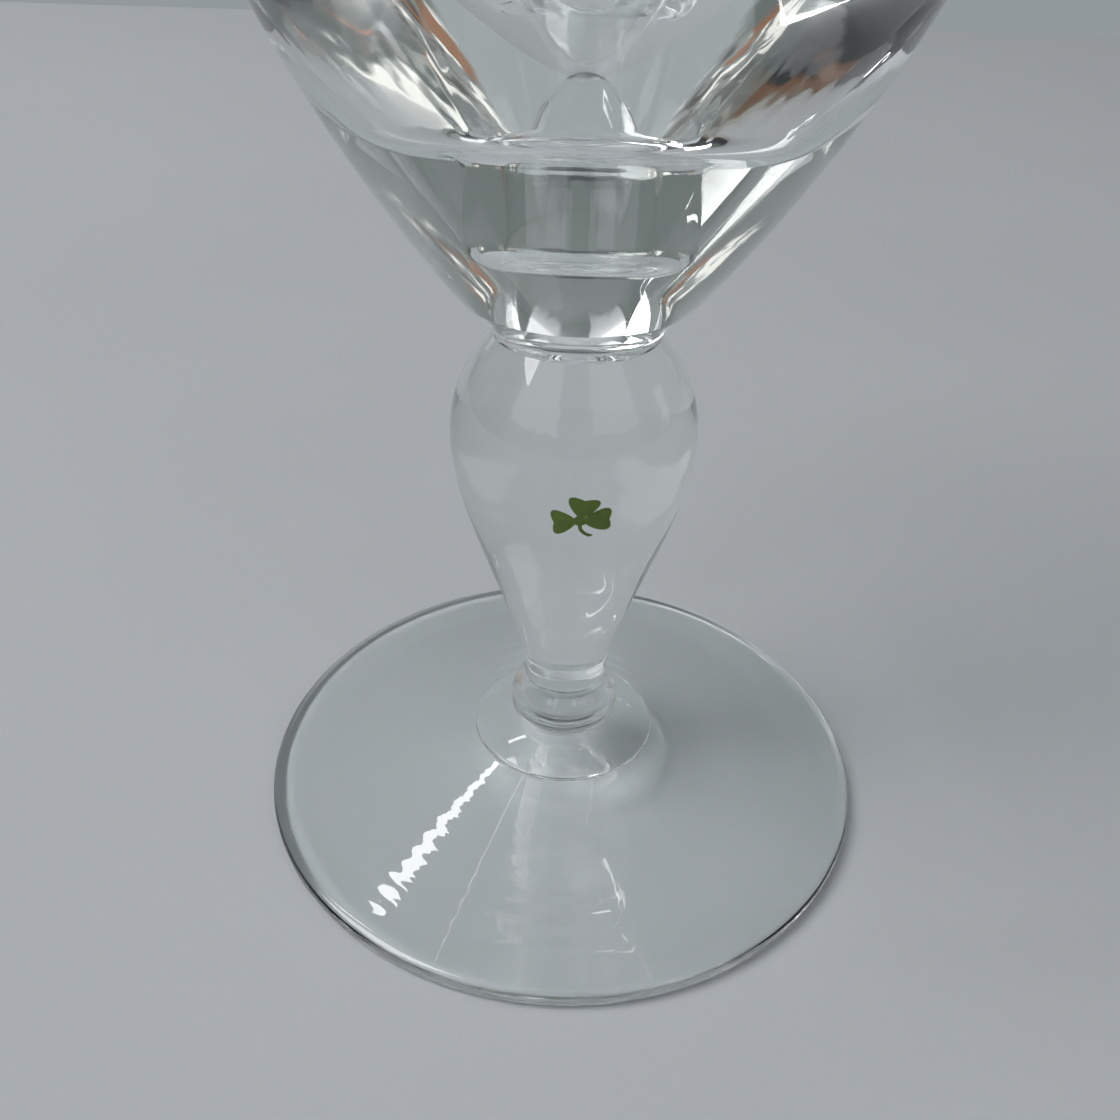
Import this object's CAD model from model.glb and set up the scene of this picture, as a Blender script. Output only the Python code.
"""Irish coffee glass: six fused pieces of clear turned glass with green enamel shamrocks round the stem."""
import math

import bmesh
import bpy
from mathutils import Matrix, Quaternion, Vector, noise


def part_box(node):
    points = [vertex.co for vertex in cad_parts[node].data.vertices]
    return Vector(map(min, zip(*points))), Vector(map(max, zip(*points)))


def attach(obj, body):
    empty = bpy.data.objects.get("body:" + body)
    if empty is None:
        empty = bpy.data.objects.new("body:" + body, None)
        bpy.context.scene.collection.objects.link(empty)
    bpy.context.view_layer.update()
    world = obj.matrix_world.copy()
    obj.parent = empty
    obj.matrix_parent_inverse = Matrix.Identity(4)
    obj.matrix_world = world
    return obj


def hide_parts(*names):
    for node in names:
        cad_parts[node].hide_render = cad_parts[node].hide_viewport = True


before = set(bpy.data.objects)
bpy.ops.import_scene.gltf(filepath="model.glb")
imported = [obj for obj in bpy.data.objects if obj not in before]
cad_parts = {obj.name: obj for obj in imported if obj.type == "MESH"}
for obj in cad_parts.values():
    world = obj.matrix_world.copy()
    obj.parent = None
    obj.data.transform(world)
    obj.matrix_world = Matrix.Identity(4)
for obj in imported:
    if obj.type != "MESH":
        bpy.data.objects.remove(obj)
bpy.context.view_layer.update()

MM = 0.001

# Fineness of the turned meshes
TURNED_SIDES = 224
BOWL_SIDES = 384
LONG_STEPS = 40
SHORT_STEPS = 16
WELL_STEPS = 8
WALL_STEPS = 6
FLAT_STEPS = 4
ON_AXIS = 1e-7
SHARP_ANGLE = math.radians(28)

# Heights of the fused joints, and the radii that the solids give
FOOT_COLLAR_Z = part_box("foot")[1].z
KNOP_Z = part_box("foot_collar")[1].z
STEM_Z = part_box("knop")[1].z
NECK_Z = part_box("stem")[1].z
BOWL_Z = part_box("neck_collar")[1].z
RIM_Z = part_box("bowl")[1].z
FOOT_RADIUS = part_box("foot")[1].x
FOOT_COLLAR_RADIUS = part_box("foot_collar")[1].x
KNOP_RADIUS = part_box("knop")[1].x
STEM_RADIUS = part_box("stem")[1].x
NECK_TOP_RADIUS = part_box("neck_collar")[1].x
RIM_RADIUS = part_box("bowl")[1].x

# Foot and foot collar
FOOT_RIM_THICKNESS = 2.2 * MM
FOOT_TOP_SAG = 1.1 * MM
REST_RING_INNER_RADIUS = 29 * MM
FOOT_HOLLOW_DEPTH = 2 * MM
FOOT_COLLAR_EDGE = 0.6 * MM
FOOT_COLLAR_CROWN = 0.4 * MM

# Tooling ripples: faint rings that the shaping paddle leaves on the turning foot
RIPPLE_DEPTH = 0.007 * MM
RIPPLE_PITCH = 2.1 * MM
RIPPLE_WANDER = 1.6 * MM
RIPPLE_PATCH = 9 * MM
RIPPLE_MEAN_STRENGTH = 0.5
RIPPLE_STRENGTH_SHIFT = Vector((5, 8, 2))
FINE_RIPPLE_SHARE = 0.5
FINE_RIPPLE_PITCH = 0.43 * RIPPLE_PITCH

# Knop and stem
KNOP_BASE_RADIUS = 5.4 * MM
KNOP_BULGE_HEIGHT = 2 * MM
KNOP_BULGE_PULL = 2.4 * MM
KNOP_WAIST_PULL = 1.6 * MM
WAIST_RADIUS = 4.65 * MM
STEM_SHOULDER_HEIGHT = 11.35 * MM
STEM_WAIST_PULL = 6.1 * MM
STEM_BULGE_PULL_BELOW = 8.5 * MM
STEM_BULGE_PULL_ABOVE = 4.7 * MM
STEM_SHOULDER_PULL = 4.8 * MM
STEM_SHOULDER_ANGLE = math.radians(35.7)
BULGE_Z = NECK_Z - STEM_SHOULDER_HEIGHT

# Neck collar and bowl
NECK_RADIUS = 8.3 * MM
NECK_FLARE_HEIGHT = 1.3 * MM
BOWL_OVERHANG = 0.5 * MM
BOWL_STRAIGHT_HEIGHT = 10 * MM
BOWL_BASE_ANGLE = math.radians(38.2)
BOWL_BASE_PULL = 25 * MM
BOWL_SIDE_PULL = 33.5 * MM
RIM_WALL = 1.9 * MM
CAVITY_SIDE_PULL = 27.5 * MM
CAVITY_WALL_PULL = 4 * MM
CONE_ANGLE = math.radians(44)
CONE_RISE = 9.5 * MM
HEEL_RADIUS = 13.5 * MM
HEEL_RISE = 1.65 * MM
SHELF_Z = BOWL_Z + 18.7 * MM
SHELF_RADIUS = 10 * MM
WELL_RADIUS = 6.9 * MM
WELL_LIP = 1.2 * MM
WELL_BASE_RADIUS = 6.8 * MM
WELL_DEPTH = 10.8 * MM
WELL_CORNER = 3 * MM
WELL_FLOOR_RADIUS = 3.6 * MM

# Chill marks: the waves that the cold plunger leaves low on the cavity's cone, on either side of its front
CHILL_DEPTH = 0.06 * MM
CHILL_WIDTH = 1 * MM
CHILL_LENGTH = 3.2 * MM
CHILL_LOW = SHELF_Z + 0.9 * MM
CHILL_HIGH = SHELF_Z + 9 * MM
CHILL_FADE = 1.6 * MM
CHILL_NEAR = math.radians(24)
CHILL_FAR = math.radians(95)
CHILL_TURN_FADE = math.radians(12)
CHILL_REACH = 1 * MM
FINE_CHILL_SHARE = 0.4
FINE_CHILL_SCALE = 2.3
FINE_CHILL_SHIFT = 9

# Shamrocks
SHAMROCK_NODES = ("shamrock_front", "shamrock_right", "shamrock_left")
SHAMROCK_Z = BULGE_Z - 2.75 * MM
SHAMROCK_TURN = math.radians(3.7)
LEAF_TURNS = (math.radians(2), math.radians(81), math.radians(187))
LEAF_LENGTHS = (2.8 * MM, 2.35 * MM, 2.5 * MM)
LEAF_LOBE_SPREADS = (2.3 * MM, 2.75 * MM, 2.6 * MM)
LEAF_LOBE_REACH = 0.9 * MM
LEAF_NECK_REACH = 1 * MM
LEAF_NECK_SPREAD = 1 * MM
LEAF_BASE = 0.55 * MM
LEAF_BASE_HALF_WIDTH = 0.36 * MM
STALK_DROP = 2 * MM
STALK_SWING = 1.15 * MM
STALK_BEND_DROP = 1.5 * MM
STALK_HALF_WIDTH = 0.2 * MM
ENAMEL_THICKNESS = 0.09 * MM
ENAMEL_ROUND = 0.1 * MM
ENAMEL_LIFT = 0.004 * MM
ENAMEL_CELL = 0.3 * MM
ENAMEL_ROUND_SHARES = (0.5, 1.0)
SAME_PLACE = 1e-8


class Outline:
    """A pen that draws half a turned piece as (radius, height) points from the axis back to the axis."""

    def __init__(self, radius, height):
        self.points = [(radius, height)]
        self.fused = []

    def _add(self, point, fused=False):
        self.points.append(point)
        self.fused.append(fused)

    def line(self, radius, height, fused=False, steps=1):
        start = self.points[-1]
        for i in range(1, steps + 1):
            t = i / steps
            self._add((start[0] + (radius - start[0]) * t, start[1] + (height - start[1]) * t), fused)

    def cubic(self, pull_out, pull_in, end, steps):
        start = self.points[-1]
        for i in range(1, steps + 1):
            t = i / steps
            weights = ((1 - t) ** 3, 3 * t * (1 - t) ** 2, 3 * t * t * (1 - t), t ** 3)
            corners = (start, pull_out, pull_in, end)
            self._add(tuple(sum(w * c[k] for w, c in zip(weights, corners)) for k in (0, 1)))

    def quadratic(self, pull, end, steps):
        start = self.points[-1]
        pull_out = tuple(s + (p - s) * 2 / 3 for s, p in zip(start, pull))
        pull_in = tuple(e + (p - e) * 2 / 3 for e, p in zip(end, pull))
        self.cubic(pull_out, pull_in, end, steps)

    def half_round(self, centre, radius, start_angle, steps):
        for i in range(1, steps + 1):
            angle = start_angle + math.pi * i / steps
            self._add((centre[0] + radius * math.cos(angle), centre[1] + radius * math.sin(angle)))


def off_upright(point, angle, distance):
    """A point at a distance from another, at an angle from straight up towards larger radii."""
    return point[0] + distance * math.sin(angle), point[1] + distance * math.cos(angle)


def foot_outline():
    rim_round = FOOT_RIM_THICKNESS / 2
    rim_centre = FOOT_RADIUS - rim_round
    top_sag = (FOOT_RIM_THICKNESS + FOOT_COLLAR_Z) / 2 - FOOT_TOP_SAG
    pen = Outline(0, FOOT_HOLLOW_DEPTH)
    pen.quadratic((REST_RING_INNER_RADIUS / 2, FOOT_HOLLOW_DEPTH), (REST_RING_INNER_RADIUS, 0), LONG_STEPS)
    pen.line(rim_centre, 0, steps=FLAT_STEPS)
    pen.half_round((rim_centre, rim_round), rim_round, -math.pi / 2, SHORT_STEPS)
    pen.quadratic(((rim_centre + FOOT_COLLAR_RADIUS) / 2, top_sag), (FOOT_COLLAR_RADIUS, FOOT_COLLAR_Z),
                  3 * LONG_STEPS)
    pen.line(FOOT_COLLAR_RADIUS - FOOT_COLLAR_EDGE / 2, FOOT_COLLAR_Z)
    pen.line(0, FOOT_COLLAR_Z, fused=True)
    return pen


def foot_collar_outline():
    edge_round = FOOT_COLLAR_EDGE / 2
    edge_centre = FOOT_COLLAR_RADIUS - edge_round
    rise = KNOP_Z - FOOT_COLLAR_Z - FOOT_COLLAR_EDGE
    crown = KNOP_Z - rise / 2 + FOOT_COLLAR_CROWN
    pen = Outline(0, FOOT_COLLAR_Z)
    pen.line(edge_centre, FOOT_COLLAR_Z, fused=True)
    pen.half_round((edge_centre, FOOT_COLLAR_Z + edge_round), edge_round, -math.pi / 2, SHORT_STEPS)
    pen.quadratic(((edge_centre + KNOP_BASE_RADIUS) / 2, crown), (KNOP_BASE_RADIUS, KNOP_Z), LONG_STEPS)
    pen.line(0, KNOP_Z, fused=True)
    return pen


def knop_outline():
    bulge_z = KNOP_Z + KNOP_BULGE_HEIGHT
    pen = Outline(0, KNOP_Z)
    pen.line(KNOP_BASE_RADIUS, KNOP_Z, fused=True)
    pen.quadratic((KNOP_RADIUS, KNOP_Z + KNOP_BULGE_HEIGHT / 2), (KNOP_RADIUS, bulge_z), SHORT_STEPS)
    pen.cubic((KNOP_RADIUS, bulge_z + KNOP_BULGE_PULL), (WAIST_RADIUS, STEM_Z - KNOP_WAIST_PULL),
              (WAIST_RADIUS, STEM_Z), SHORT_STEPS)
    pen.line(0, STEM_Z, fused=True)
    return pen


def stem_outline():
    top = (NECK_RADIUS, NECK_Z)
    shoulder = off_upright(top, math.pi - STEM_SHOULDER_ANGLE, STEM_SHOULDER_PULL)
    pen = Outline(0, STEM_Z)
    pen.line(WAIST_RADIUS, STEM_Z, fused=True)
    pen.cubic((WAIST_RADIUS, STEM_Z + STEM_WAIST_PULL), (STEM_RADIUS, BULGE_Z - STEM_BULGE_PULL_BELOW),
              (STEM_RADIUS, BULGE_Z), LONG_STEPS)
    pen.cubic((STEM_RADIUS, BULGE_Z + STEM_BULGE_PULL_ABOVE), shoulder, top, LONG_STEPS)
    pen.line(0, NECK_Z, fused=True)
    return pen


def neck_collar_outline():
    pen = Outline(0, NECK_Z)
    pen.line(NECK_RADIUS, NECK_Z, fused=True)
    pen.quadratic((NECK_RADIUS, NECK_Z + NECK_FLARE_HEIGHT), (NECK_TOP_RADIUS, BOWL_Z), SHORT_STEPS)
    pen.line(0, BOWL_Z, fused=True)
    return pen


def bowl_outline():
    base = (NECK_TOP_RADIUS + BOWL_OVERHANG, BOWL_Z)
    side_z = RIM_Z - BOWL_STRAIGHT_HEIGHT
    rim_round = RIM_WALL / 2
    cavity_radius = RIM_RADIUS - RIM_WALL
    heel = (HEEL_RADIUS, SHELF_Z + HEEL_RISE)
    heel_pull = (HEEL_RADIUS - HEEL_RISE * math.tan(CONE_ANGLE), SHELF_Z)
    cone_top = off_upright(heel, CONE_ANGLE, CONE_RISE / math.cos(CONE_ANGLE))
    well_floor_z = SHELF_Z - WELL_DEPTH
    pen = Outline(0, BOWL_Z)
    pen.line(NECK_TOP_RADIUS, BOWL_Z, fused=True)
    pen.line(*base)
    pen.cubic(off_upright(base, BOWL_BASE_ANGLE, BOWL_BASE_PULL), (RIM_RADIUS, side_z - BOWL_SIDE_PULL),
              (RIM_RADIUS, side_z), 2 * LONG_STEPS)
    pen.line(RIM_RADIUS, RIM_Z - rim_round, steps=WALL_STEPS)
    pen.half_round((RIM_RADIUS - rim_round, RIM_Z - rim_round), rim_round, 0, SHORT_STEPS)
    pen.line(cavity_radius, side_z, steps=WALL_STEPS)
    pen.cubic((cavity_radius, side_z - CAVITY_SIDE_PULL), off_upright(cone_top, CONE_ANGLE, CAVITY_WALL_PULL),
              cone_top, 2 * LONG_STEPS)
    pen.line(*heel, steps=LONG_STEPS)
    pen.quadratic(heel_pull, (SHELF_RADIUS, SHELF_Z), SHORT_STEPS)
    pen.line(WELL_RADIUS + WELL_LIP, SHELF_Z, steps=FLAT_STEPS)
    pen.quadratic((WELL_RADIUS, SHELF_Z), (WELL_RADIUS, SHELF_Z - WELL_LIP), SHORT_STEPS)
    pen.line(WELL_BASE_RADIUS, well_floor_z + WELL_CORNER, steps=WELL_STEPS)
    pen.quadratic((WELL_BASE_RADIUS, well_floor_z), (WELL_FLOOR_RADIUS, well_floor_z), SHORT_STEPS)
    pen.line(0, well_floor_z, steps=FLAT_STEPS)
    return pen


def turned(name, pen, materials, sides=TURNED_SIDES):
    """A closed solid of revolution; the faces of its fused joints take the second material."""
    bm = bmesh.new()
    rings = []
    for radius, height in pen.points:
        if radius < ON_AXIS:
            rings.append([bm.verts.new((0, 0, height))] * sides)
            continue
        turns = [2 * math.pi * k / sides for k in range(sides)]
        rings.append([bm.verts.new((radius * math.cos(a), radius * math.sin(a), height)) for a in turns])
    for low, high, fused in zip(rings, rings[1:], pen.fused):
        for k in range(sides):
            j = (k + 1) % sides
            corners = list(dict.fromkeys((low[k], low[j], high[j], high[k])))
            face = bm.faces.new(corners)
            face.smooth = True
            face.material_index = int(fused)
    bmesh.ops.recalc_face_normals(bm, faces=bm.faces)
    mesh = bpy.data.meshes.new(name)
    bm.to_mesh(mesh)
    bm.free()
    mesh.set_sharp_from_angle(angle=SHARP_ANGLE)
    for material in materials:
        mesh.materials.append(material)
    piece = bpy.data.objects.new(name, mesh)
    bpy.context.scene.collection.objects.link(piece)
    return piece


def fade_in(value, start, width):
    """Rises smoothly from 0 at the start to 1 a width later."""
    share = min(max((value - start) / width, 0), 1)
    return share * share * (3 - 2 * share)


def add_ripples(foot):
    """Raises and lowers the foot's upper face in faint, wandering rings."""
    outer = FOOT_RADIUS - FOOT_RIM_THICKNESS
    for vert in foot.data.vertices:
        radius = math.hypot(vert.co.x, vert.co.y)
        if not FOOT_COLLAR_RADIUS < radius < outer or vert.co.z < FOOT_RIM_THICKNESS:
            continue
        wander = RIPPLE_WANDER * noise.noise(vert.co / RIPPLE_PATCH)
        strength = RIPPLE_MEAN_STRENGTH + noise.noise(vert.co / RIPPLE_PATCH + RIPPLE_STRENGTH_SHIFT)
        strength *= fade_in(radius, FOOT_COLLAR_RADIUS, RIPPLE_PITCH) * fade_in(-radius, -outer, RIPPLE_PITCH)
        ring = math.sin(2 * math.pi * (radius + wander) / RIPPLE_PITCH)
        ring += FINE_RIPPLE_SHARE * math.sin(2 * math.pi * (radius - 2 * wander) / FINE_RIPPLE_PITCH)
        vert.co.z += RIPPLE_DEPTH * strength * ring


def add_chill_marks(bowl):
    """Ripples the cavity's cone where the plunger chilled the glass, fading out all round."""
    for vert in bowl.data.vertices:
        x, y, z = vert.co
        radius = math.hypot(x, y)
        cone_radius = HEEL_RADIUS + (z - SHELF_Z - HEEL_RISE) * math.tan(CONE_ANGLE)
        if not CHILL_LOW < z < CHILL_HIGH or radius > cone_radius + CHILL_REACH:
            continue
        turn = abs(math.atan2(x, -y))
        depth = CHILL_DEPTH * fade_in(z, CHILL_LOW, CHILL_FADE / 2) * fade_in(-z, -CHILL_HIGH, 2 * CHILL_FADE)
        depth *= fade_in(turn, CHILL_NEAR, CHILL_TURN_FADE) * fade_in(-turn, -CHILL_FAR, CHILL_TURN_FADE)
        across = math.atan2(x, -y) * HEEL_RADIUS / CHILL_WIDTH
        along = z / CHILL_LENGTH
        coarse = noise.noise(Vector((across, along, 0)))
        fine = noise.noise(Vector((FINE_CHILL_SCALE * across, FINE_CHILL_SCALE * along, FINE_CHILL_SHIFT)))
        vert.co.z += depth * (coarse + FINE_CHILL_SHARE * fine)


def shamrock_outline():
    """Flat outline about the point where the leaves meet: three heart leaves, then round the bent stalk."""
    pen = Outline(STALK_HALF_WIDTH, -LEAF_BASE)
    for turn, length, spread in zip(LEAF_TURNS, LEAF_LENGTHS, LEAF_LOBE_SPREADS):
        along = (math.cos(turn), math.sin(turn))

        def on_leaf(reach, across):
            return reach * along[0] - across * along[1], reach * along[1] + across * along[0]

        notch = on_leaf(length, 0)
        lobe_reach = length + LEAF_LOBE_REACH
        pen.line(*on_leaf(LEAF_BASE, -LEAF_BASE_HALF_WIDTH))
        pen.cubic(on_leaf(LEAF_NECK_REACH, -LEAF_NECK_SPREAD), on_leaf(lobe_reach, -spread),
                  notch, SHORT_STEPS)
        pen.cubic(on_leaf(lobe_reach, spread), on_leaf(LEAF_NECK_REACH, LEAF_NECK_SPREAD),
                  on_leaf(LEAF_BASE, LEAF_BASE_HALF_WIDTH), SHORT_STEPS)
    pen.line(-STALK_HALF_WIDTH, -LEAF_BASE)
    stalk_end = (STALK_SWING - STALK_HALF_WIDTH, -STALK_DROP)
    pen.quadratic((-STALK_HALF_WIDTH, -STALK_BEND_DROP), stalk_end, SHORT_STEPS)
    pen.line(STALK_SWING + STALK_HALF_WIDTH, STALK_HALF_WIDTH - STALK_DROP)
    pen.quadratic((STALK_HALF_WIDTH, -STALK_BEND_DROP), (STALK_HALF_WIDTH, -LEAF_BASE), SHORT_STEPS)
    return pen.points[:-1]


def stem_radius(height, side):
    for (low_r, low_z), (high_r, high_z) in zip(side, side[1:]):
        if low_z <= height <= high_z and high_z > low_z:
            return low_r + (high_r - low_r) * (height - low_z) / (high_z - low_z)
    raise ValueError("no stem at this height")


def cut_in_cells(bm, half_size):
    """Cuts a flat figure along a square grid, so that it can bend."""
    count = int(half_size / ENAMEL_CELL)
    for normal in ((1, 0, 0), (0, 1, 0)):
        for i in range(-count, count + 1):
            everything = bm.verts[:] + bm.edges[:] + bm.faces[:]
            place = Vector(normal) * (i * ENAMEL_CELL)
            bmesh.ops.bisect_plane(bm, geom=everything, plane_co=place, plane_no=normal)


def shamrock(name, azimuth, side, material):
    """A low, round-edged layer of enamel, wrapped on the stem."""
    bm = bmesh.new()
    under = bm.faces.new([bm.verts.new((x, y, 0)) for x, y in shamrock_outline()])
    over = bmesh.ops.duplicate(bm, geom=[under])["geom"]
    top = [g for g in over if isinstance(g, bmesh.types.BMFace)]
    for share in ENAMEL_ROUND_SHARES:
        rise = ENAMEL_THICKNESS * math.sqrt(1 - (1 - share) ** 2)
        bmesh.ops.inset_region(bm, faces=top, thickness=ENAMEL_ROUND / 2, use_even_offset=True)
        for vert in {v for f in top for v in f.verts}:
            vert.co.z = rise
    bmesh.ops.remove_doubles(bm, verts=bm.verts, dist=SAME_PLACE)
    cut_in_cells(bm, max(LEAF_LENGTHS) + LEAF_LOBE_REACH)
    bmesh.ops.recalc_face_normals(bm, faces=bm.faces)
    wrap_radius = stem_radius(SHAMROCK_Z, side)
    for vert in bm.verts:
        x, y, lift = vert.co
        height = SHAMROCK_Z + y
        radius = stem_radius(height, side) + ENAMEL_LIFT + lift
        turn = azimuth + x / wrap_radius
        vert.co = (radius * math.cos(turn), radius * math.sin(turn), height)
    for face in bm.faces:
        face.smooth = True
    mesh = bpy.data.meshes.new(name)
    bm.to_mesh(mesh)
    bm.free()
    mesh.materials.append(material)
    piece = bpy.data.objects.new(name, mesh)
    bpy.context.scene.collection.objects.link(piece)
    return piece


class Graph:
    """Short ways to lay and join shader nodes."""

    def __init__(self, tree):
        self.tree = tree

    def node(self, kind, **settings):
        node = self.tree.nodes.new(kind)
        for key, value in settings.items():
            setattr(node, key, value)
        return node

    def plug(self, socket, value):
        if isinstance(value, bpy.types.NodeSocket):
            self.tree.links.new(value, socket)
        else:
            socket.default_value = value

    def sum(self, operation, first, second):
        node = self.node("ShaderNodeMath", operation=operation)
        self.plug(node.inputs[0], first)
        self.plug(node.inputs[1], second)
        return node.outputs[0]

    def rise(self, value, low, high):
        node = self.node("ShaderNodeMapRange", interpolation_type="SMOOTHSTEP")
        self.plug(node.inputs["Value"], value)
        self.plug(node.inputs["From Min"], low)
        self.plug(node.inputs["From Max"], high)
        return node.outputs["Result"]

    def band(self, value, low, high, soft):
        rising = self.rise(value, low - soft, low + soft)
        falling = self.sum("SUBTRACT", 1.0, self.rise(value, high - soft, high + soft))
        return self.sum("MULTIPLY", rising, falling)

    def mix(self, share, first, second):
        node = self.node("ShaderNodeMix", data_type="RGBA")
        self.plug(node.inputs["Factor"], share)
        self.plug(node.inputs["A"], first)
        self.plug(node.inputs["B"], second)
        return node.outputs["Result"]

    def noise(self, place, scale, detail):
        node = self.node("ShaderNodeTexNoise")
        self.plug(node.inputs["Vector"], place)
        self.plug(node.inputs["Scale"], float(scale))
        self.plug(node.inputs["Detail"], float(detail))
        return node.outputs["Fac"]


# Materials: each has two tones that noise mixes, with the noise's scale per metre
NOISE_CLEAR_OF = 0.3
NOISE_FULL_AT = 0.7
GLASS_TONES = ((0.972, 0.988, 0.977, 1), (0.978, 0.992, 0.983, 1))
GLASS_CORD_SCALE = 70
GLASS_CORD_FROM = 0.35
GLASS_CORD_FULL = 0.65
GLASS_IOR = 1.52
ENAMEL_TONES = ((0.072, 0.125, 0.007, 1), (0.098, 0.155, 0.014, 1))
ENAMEL_PIGMENT_SCALE = 1400
ENAMEL_ROUGHNESS = 0.3
ENAMEL_ROUGHNESS_RANGE = 0.12
FLOOR_TONES = ((0.405, 0.419, 0.439, 1), (0.417, 0.431, 0.451, 1))
FLOOR_CLOUD_SCALE = 9
FLOOR_GRAIN_TONE = (0.38, 0.395, 0.415, 1)
FLOOR_GRAIN_SCALE = 900
FLOOR_GRAIN_SHARE = 0.12
FLOOR_ROUGHNESS = 0.9

# The floor reaches this far from the glass, in metres, and lies just under the foot
FLOOR_SIDE = 0.9
FLOOR_FRONT = -0.9
FLOOR_BACK = 0.57
FLOOR_DROP = 0.05 * MM


def new_material(name):
    material = bpy.data.materials.new(name)
    material.use_nodes = True
    return material, material.node_tree, material.node_tree.nodes["Principled BSDF"]


def clear_glass():
    material, tree, shader = new_material("clear_glass")
    graph = Graph(tree)
    place = graph.node("ShaderNodeTexCoord").outputs["Object"]
    cords = graph.rise(graph.noise(place, GLASS_CORD_SCALE, 2), GLASS_CORD_FROM, GLASS_CORD_FULL)
    graph.plug(shader.inputs["Base Color"], graph.mix(cords, *GLASS_TONES))
    shader.inputs["Roughness"].default_value = 0
    shader.inputs["IOR"].default_value = GLASS_IOR
    shader.inputs["Transmission Weight"].default_value = 1
    return material


def fused_glass():
    """Where two pieces are melted together no surface is left, so light passes straight on."""
    material, tree, shader = new_material("fused_glass")
    clear = tree.nodes.new("ShaderNodeBsdfTransparent")
    tree.links.new(clear.outputs[0], tree.nodes["Material Output"].inputs["Surface"])
    tree.nodes.remove(shader)
    return material


def green_enamel():
    material, tree, shader = new_material("green_enamel")
    graph = Graph(tree)
    place = graph.node("ShaderNodeTexCoord").outputs["Object"]
    pigment = graph.rise(graph.noise(place, ENAMEL_PIGMENT_SCALE, 3), NOISE_CLEAR_OF, NOISE_FULL_AT)
    graph.plug(shader.inputs["Base Color"], graph.mix(pigment, *ENAMEL_TONES))
    extra = graph.sum("MULTIPLY", pigment, ENAMEL_ROUGHNESS_RANGE)
    graph.plug(shader.inputs["Roughness"], graph.sum("ADD", extra, ENAMEL_ROUGHNESS))
    return material


def floor_material():
    material, tree, shader = new_material("floor")
    graph = Graph(tree)
    place = graph.node("ShaderNodeTexCoord").outputs["Object"]
    cloud = graph.rise(graph.noise(place, FLOOR_CLOUD_SCALE, 2), NOISE_CLEAR_OF, NOISE_FULL_AT)
    grain = graph.rise(graph.noise(place, FLOOR_GRAIN_SCALE, 2), NOISE_CLEAR_OF, NOISE_FULL_AT)
    share = graph.sum("MULTIPLY", grain, FLOOR_GRAIN_SHARE)
    colour = graph.mix(share, graph.mix(cloud, *FLOOR_TONES), FLOOR_GRAIN_TONE)
    graph.plug(shader.inputs["Base Color"], colour)
    shader.inputs["Roughness"].default_value = FLOOR_ROUGHNESS
    return material


def build_floor():
    mesh = bpy.data.meshes.new("floor")
    front_edge = [(-FLOOR_SIDE, FLOOR_FRONT, 0), (FLOOR_SIDE, FLOOR_FRONT, 0)]
    back_edge = [(FLOOR_SIDE, FLOOR_BACK, 0), (-FLOOR_SIDE, FLOOR_BACK, 0)]
    mesh.from_pydata(front_edge + back_edge, [], [(0, 1, 2, 3)])
    mesh.materials.append(floor_material())
    floor = bpy.data.objects.new("floor", mesh)
    floor.location.z = -FLOOR_DROP
    bpy.context.scene.collection.objects.link(floor)


def soft_light(name, place, target, width, height, power, tilt=0):
    lamp = bpy.data.lights.new(name, "AREA")
    lamp.shape = "RECTANGLE"
    lamp.size = width
    lamp.size_y = height
    lamp.energy = power
    light = bpy.data.objects.new(name, lamp)
    light.location = place
    facing = (Vector(target) - Vector(place)).to_track_quat("-Z", "Y")
    light.rotation_euler = (facing @ Quaternion((0, 0, 1), tilt)).to_euler()
    bpy.context.scene.collection.objects.link(light)


# What stands round the table: colour, then from and to in degrees of azimuth and of elevation,
# with azimuth 0 straight behind the glass and 90 to the right
WALL_BEHIND = (0.145, 0.168, 0.162, 1)
CEILING = (0.5, 0.52, 0.54, 1)
BACKDROP = (0.29, 0.32, 0.34, 1)
ROOM = (
    ((0.34, 0.375, 0.385, 1), (-36, 36), (-12, 17)),
    ((0.06, 0.068, 0.068, 1), (-16, 16), (12, 22)),
    ((0.28, 0.28, 0.26, 1), (-86, -78), (-4, 17)),
    ((0.13, 0.065, 0.032, 1), (-93, -86), (-12, 24)),
    ((0.01, 0.01, 0.012, 1), (-114, -90), (-12, 33)),
    ((1.0, 1.02, 0.96, 1), (80, 90), (1, 18)),
    ((0.1, 0.115, 0.11, 1), (92, 112), (4, 30)),
    ((0.01, 0.01, 0.01, 1), (98, 112), (-12, 13)),
    ((0.5, 0.22, 0.11, 1), (94, 97), (13, 18)),
    ((1.2, 1.22, 1.26, 1), (-164, -116), (14, 72)),
    ((0.95, 0.97, 1.0, 1), (116, 162), (14, 72)),
)
CLUTTER = (((-50, -36), (3, 18)), ((36, 50), (2, 18)))
CLUTTER_DARK = (0.09, 0.085, 0.075, 1)
CLUTTER_GREY = (0.26, 0.28, 0.27, 1)
CLUTTER_BRIGHT = (1.0, 1.0, 0.94, 1)
CLUTTER_WOOD = (0.3, 0.15, 0.08, 1)
CEILING_FROM = math.radians(66)
CEILING_FULL = math.radians(78)
EDGE_SOFTNESS = math.radians(2)
WAVER = 0.22
WAVER_SCALE = 7
MOTTLE_SCALE = 16
WOOD_SCALE = 9

# The lamps, in metres and watts: a tube that draws the streak on the foot, and a window to the left
STRIP = {
    "place": (-0.37, 0.375, 0.845),
    "target": (0, 0, 0),
    "width": 0.2,
    "height": 0.035,
    "power": 0.28,
    "tilt": math.radians(-23),
}
WINDOW = {
    "place": (-1.1, -0.28, 1.4),
    "target": (0, 0, 0.03),
    "width": 1.0,
    "height": 1.0,
    "power": 22,
}


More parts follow.
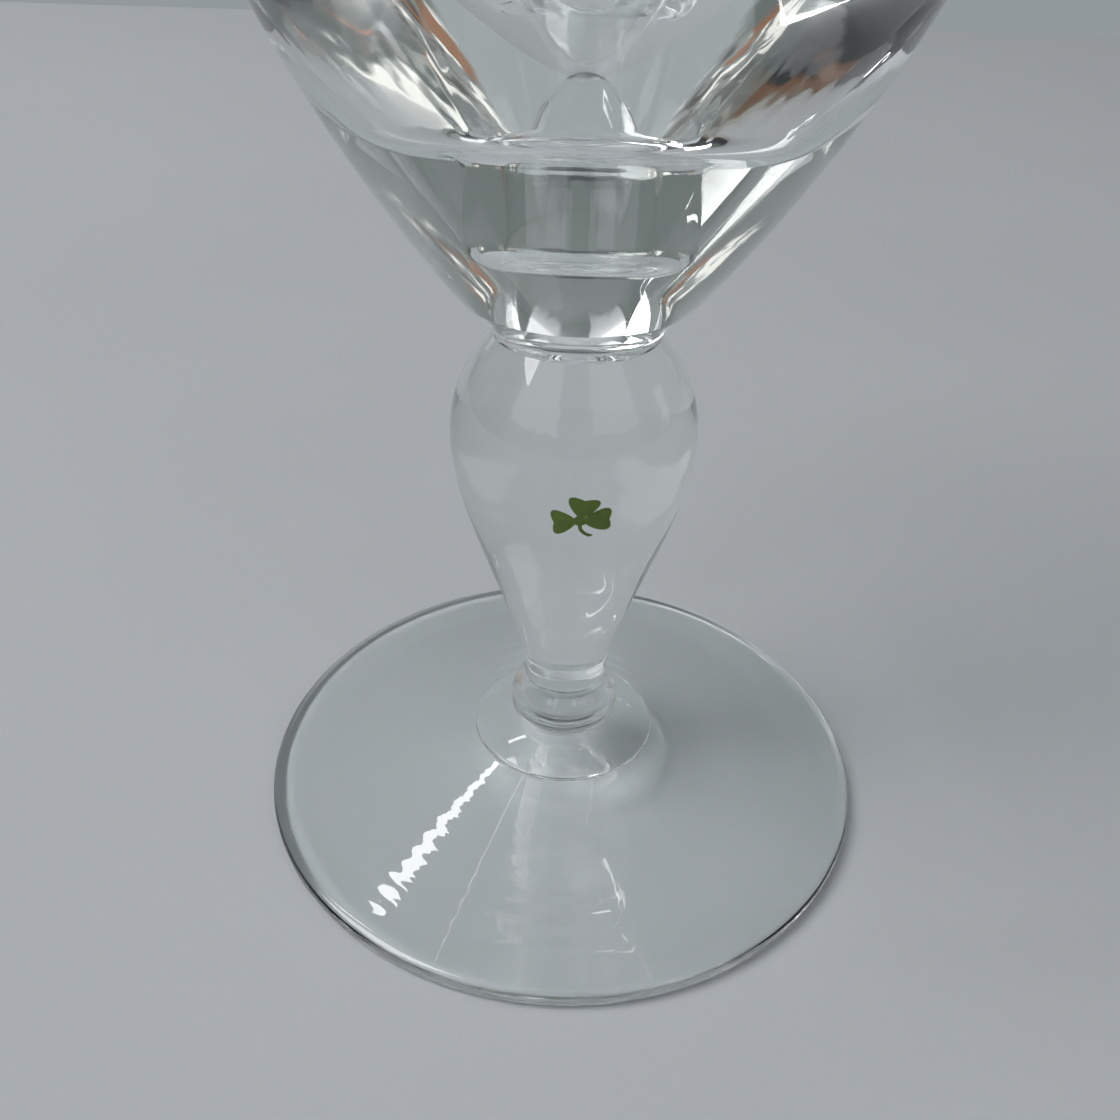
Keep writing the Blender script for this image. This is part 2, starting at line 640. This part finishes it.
def build_room():
    world = bpy.data.worlds.new("surround")
    bpy.context.scene.world = world
    world.use_nodes = True
    graph = Graph(world.node_tree)
    direction = graph.node("ShaderNodeTexCoord").outputs["Generated"]
    parts = graph.node("ShaderNodeSeparateXYZ")
    graph.plug(parts.inputs[0], direction)
    waver = graph.sum("SUBTRACT", graph.noise(direction, WAVER_SCALE, 3), 0.5)
    waver = graph.sum("MULTIPLY", waver, WAVER)
    azimuth = graph.sum("ADD", graph.sum("ARCTAN2", parts.outputs["X"], parts.outputs["Y"]), waver)
    elevation = graph.sum("ADD", graph.sum("ARCSINE", parts.outputs["Z"], 0.0), waver)
    overhead = graph.rise(elevation, CEILING_FROM, CEILING_FULL)
    room = graph.mix(overhead, WALL_BEHIND, CEILING)

    def place(turn, height):
        across = graph.band(azimuth, math.radians(turn[0]), math.radians(turn[1]), EDGE_SOFTNESS)
        upward = graph.band(elevation, math.radians(height[0]), math.radians(height[1]), EDGE_SOFTNESS)
        return graph.sum("MULTIPLY", across, upward)

    for colour, turn, height in ROOM:
        room = graph.mix(place(turn, height), room, colour)
    mottle = graph.noise(direction, MOTTLE_SCALE, 4)
    clutter = graph.mix(graph.rise(mottle, 0.38, 0.48), CLUTTER_DARK, CLUTTER_GREY)
    clutter = graph.mix(graph.rise(mottle, 0.54, 0.6), clutter, CLUTTER_BRIGHT)
    wood = graph.noise(direction, WOOD_SCALE, 1)
    clutter = graph.mix(graph.rise(wood, 0.62, 0.66), clutter, CLUTTER_WOOD)
    for turn, height in CLUTTER:
        room = graph.mix(place(turn, height), room, clutter)
    seen = graph.node("ShaderNodeLightPath").outputs["Is Camera Ray"]
    graph.plug(world.node_tree.nodes["Background"].inputs["Color"], graph.mix(seen, room, BACKDROP))


def build_lights():
    build_room()
    soft_light("strip", **STRIP)
    soft_light("window", **WINDOW)


# The photograph's camera, fitted to the rim of the foot and the rings of the stem
FRAME_PIXELS = 1120
FOCAL_PIXELS = 1120
SENSOR = 36
CAMERA_PLACE = (-0.98 * MM, -101.9 * MM, 99.5 * MM)
CAMERA_PITCH = math.radians(34.19)
CAMERA_ROLL = math.radians(1.78)


def build_camera():
    forward = Vector((0, math.cos(CAMERA_PITCH), -math.sin(CAMERA_PITCH)))
    level_down = Vector((0, -math.sin(CAMERA_PITCH), -math.cos(CAMERA_PITCH)))
    level_right = Vector((1, 0, 0))
    right = level_right * math.cos(CAMERA_ROLL) - level_down * math.sin(CAMERA_ROLL)
    down = level_right * math.sin(CAMERA_ROLL) + level_down * math.cos(CAMERA_ROLL)
    data = bpy.data.cameras.new("camera")
    data.sensor_width = SENSOR
    data.lens = SENSOR * FOCAL_PIXELS / FRAME_PIXELS
    data.clip_start = 5 * MM
    camera = bpy.data.objects.new("camera", data)
    facing = Matrix((right, -down, -forward)).transposed().to_4x4()
    camera.matrix_world = Matrix.Translation(CAMERA_PLACE) @ facing
    bpy.context.scene.collection.objects.link(camera)
    bpy.context.scene.camera = camera


def build_glass():
    outlines = {
        "foot": foot_outline(),
        "foot_collar": foot_collar_outline(),
        "knop": knop_outline(),
        "stem": stem_outline(),
        "neck_collar": neck_collar_outline(),
        "bowl": bowl_outline(),
    }
    materials = (clear_glass(), fused_glass())
    for node, pen in outlines.items():
        piece = turned(f"glass_{node}", pen, materials, BOWL_SIDES if node == "bowl" else TURNED_SIDES)
        if node == "bowl":
            add_chill_marks(piece)
        if node == "foot":
            add_ripples(piece)
        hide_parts(node)
        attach(piece, "root")
    enamel = green_enamel()
    side = outlines["stem"].points[1:-1]
    for index, node in enumerate(SHAMROCK_NODES):
        azimuth = -math.pi / 2 + SHAMROCK_TURN + 2 * math.pi * index / len(SHAMROCK_NODES)
        piece = shamrock(f"enamel_{node}", azimuth, side, enamel)
        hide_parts(node)
        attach(piece, "root")


# Light has to pass many surfaces of glass before it is lost
GLASS_BOUNCES = 24
MIRROR_BOUNCES = 12
FUSED_BOUNCES = 32


def set_view():
    scene = bpy.context.scene
    scene.view_settings.view_transform = "Standard"
    scene.cycles.max_bounces = GLASS_BOUNCES
    scene.cycles.transmission_bounces = GLASS_BOUNCES
    scene.cycles.glossy_bounces = MIRROR_BOUNCES
    scene.cycles.transparent_max_bounces = FUSED_BOUNCES
    scene.cycles.blur_glossy = 0


build_glass()
build_floor()
build_lights()
build_camera()
set_view()
